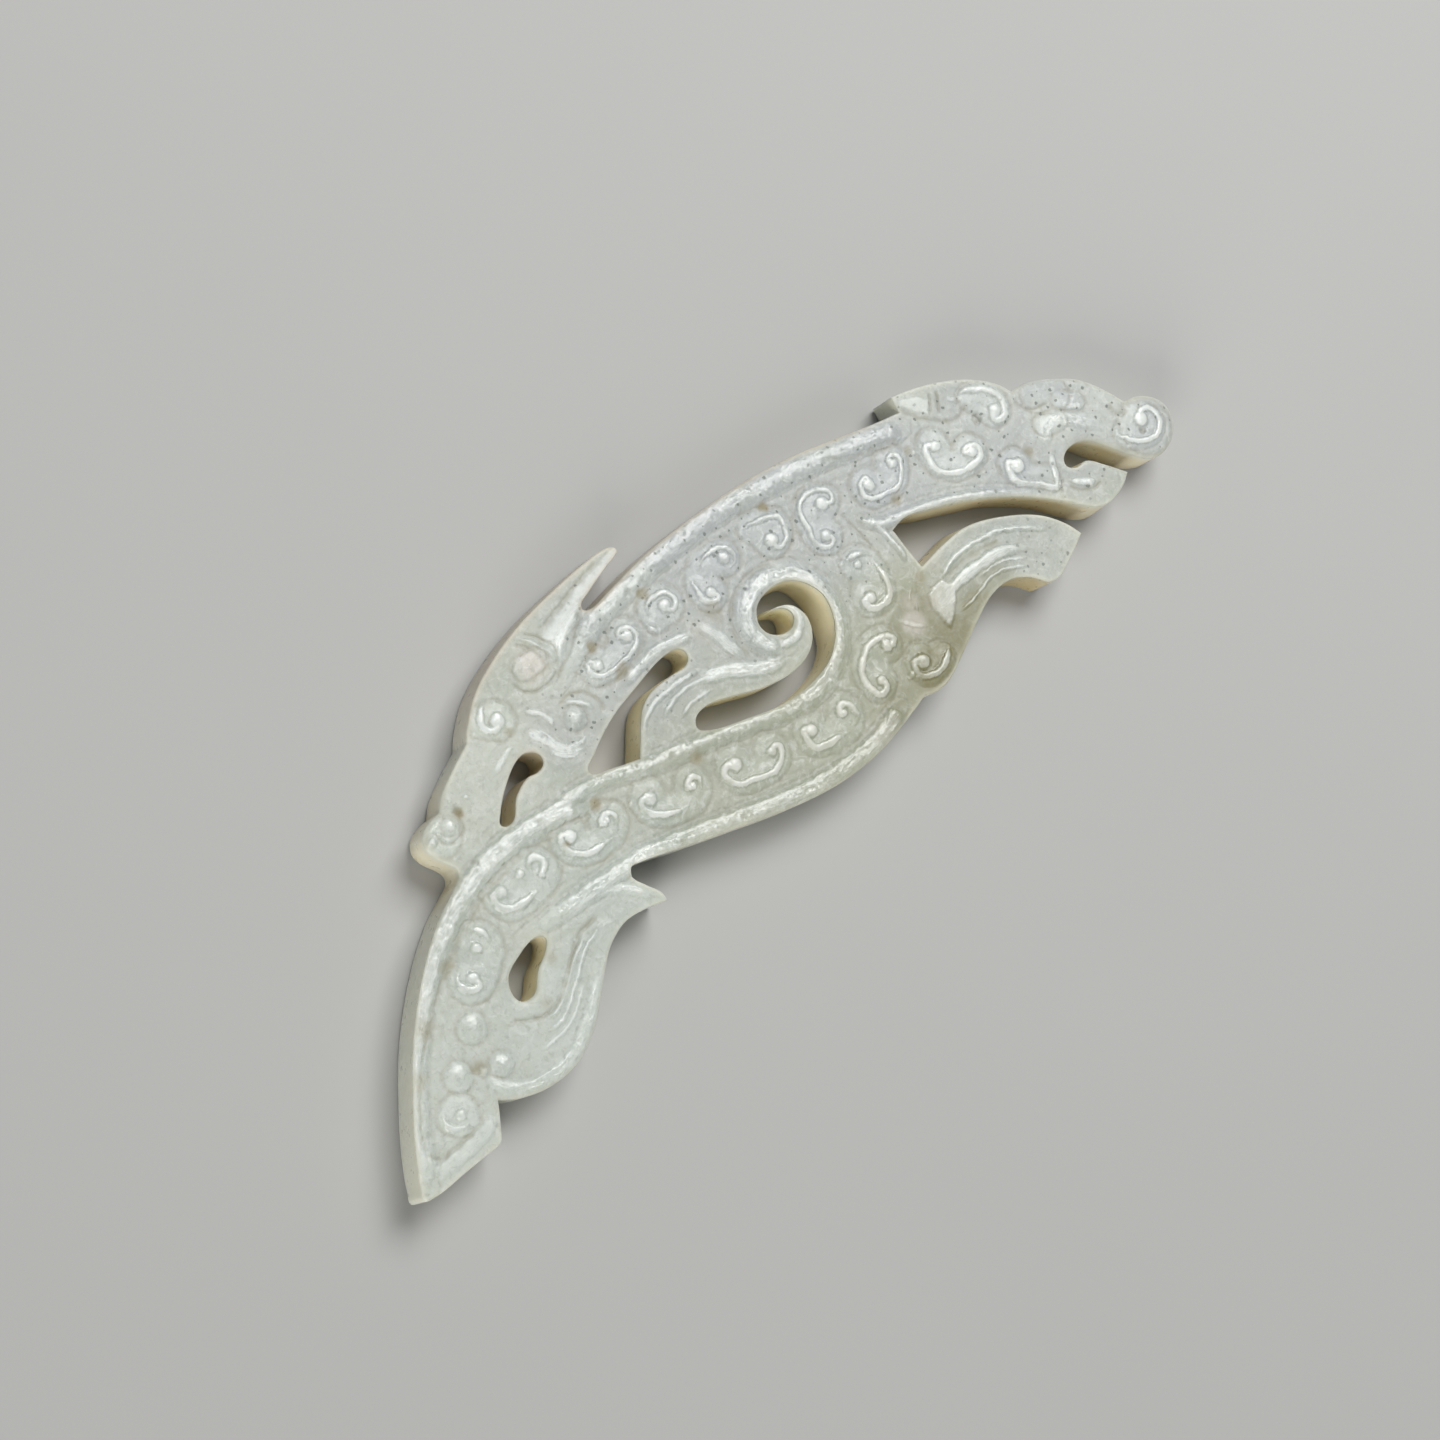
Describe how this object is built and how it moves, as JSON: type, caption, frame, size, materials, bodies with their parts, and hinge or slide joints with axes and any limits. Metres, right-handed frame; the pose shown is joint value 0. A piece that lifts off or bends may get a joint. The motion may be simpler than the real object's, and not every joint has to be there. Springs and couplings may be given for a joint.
{
  "type": "jade huang pendant",
  "caption": "Flat arched jade plaque, pierced and carved in relief as a two-headed dragon, with scrolls, a coiled ribbon, a fluted fin and a pointed tail.",
  "frame": {"origin": "centre of the part's box, on its flat back", "axes": "+X from the tail to the nose of the large head, +Y to the arched side, +Z out of the carved face"},
  "size_m": [0.1118, 0.0334, 0.005],
  "materials": {
    "jade": "polished translucent pale celadon nephrite"
  },
  "bodies": {
    "root": {"jade_plaque": "jade"}
  },
  "joints": []
}
